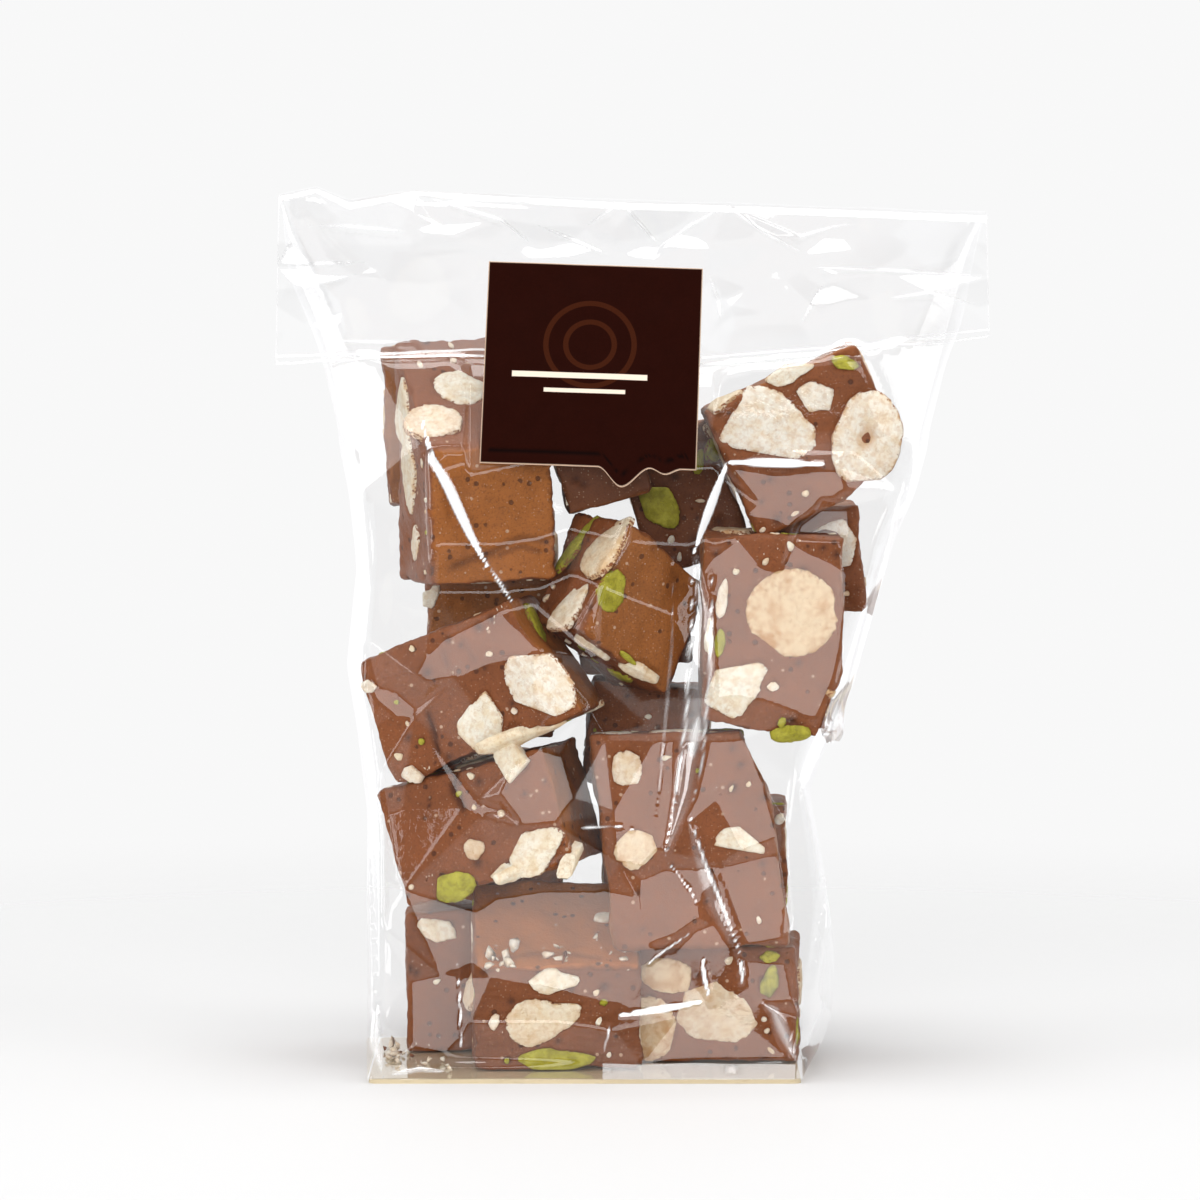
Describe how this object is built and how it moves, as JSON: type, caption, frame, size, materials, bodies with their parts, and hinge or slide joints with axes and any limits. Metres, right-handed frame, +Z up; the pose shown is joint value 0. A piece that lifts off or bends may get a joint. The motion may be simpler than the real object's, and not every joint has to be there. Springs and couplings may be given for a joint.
{
  "type": "clear bag of nougat pieces",
  "caption": "Clear film block-bottom bag filled with chocolate nougat blocks with nuts, folded over at the top and closed by a dark square sticker, standing upright.",
  "frame": {"origin": "on the floor under the middle of the pack", "axes": "+Z up, front with the sticker towards -Y, +X to the right seen from the front"},
  "size_m": [0.133, 0.054, 0.1658],
  "materials": {
    "film": "clear glossy film",
    "sticker": "dark brown coated paper",
    "card": "pale matt card",
    "nougat": "milk chocolate nougat, satin",
    "hazelnut": "toasted nut, matt",
    "almond": "cream nut, matt",
    "pistachio": "yellow-green nut, satin"
  },
  "bodies": {
    "root": {"bag": "film", "sticker": "sticker", "base_card": "card"}
  },
  "joints": []
}
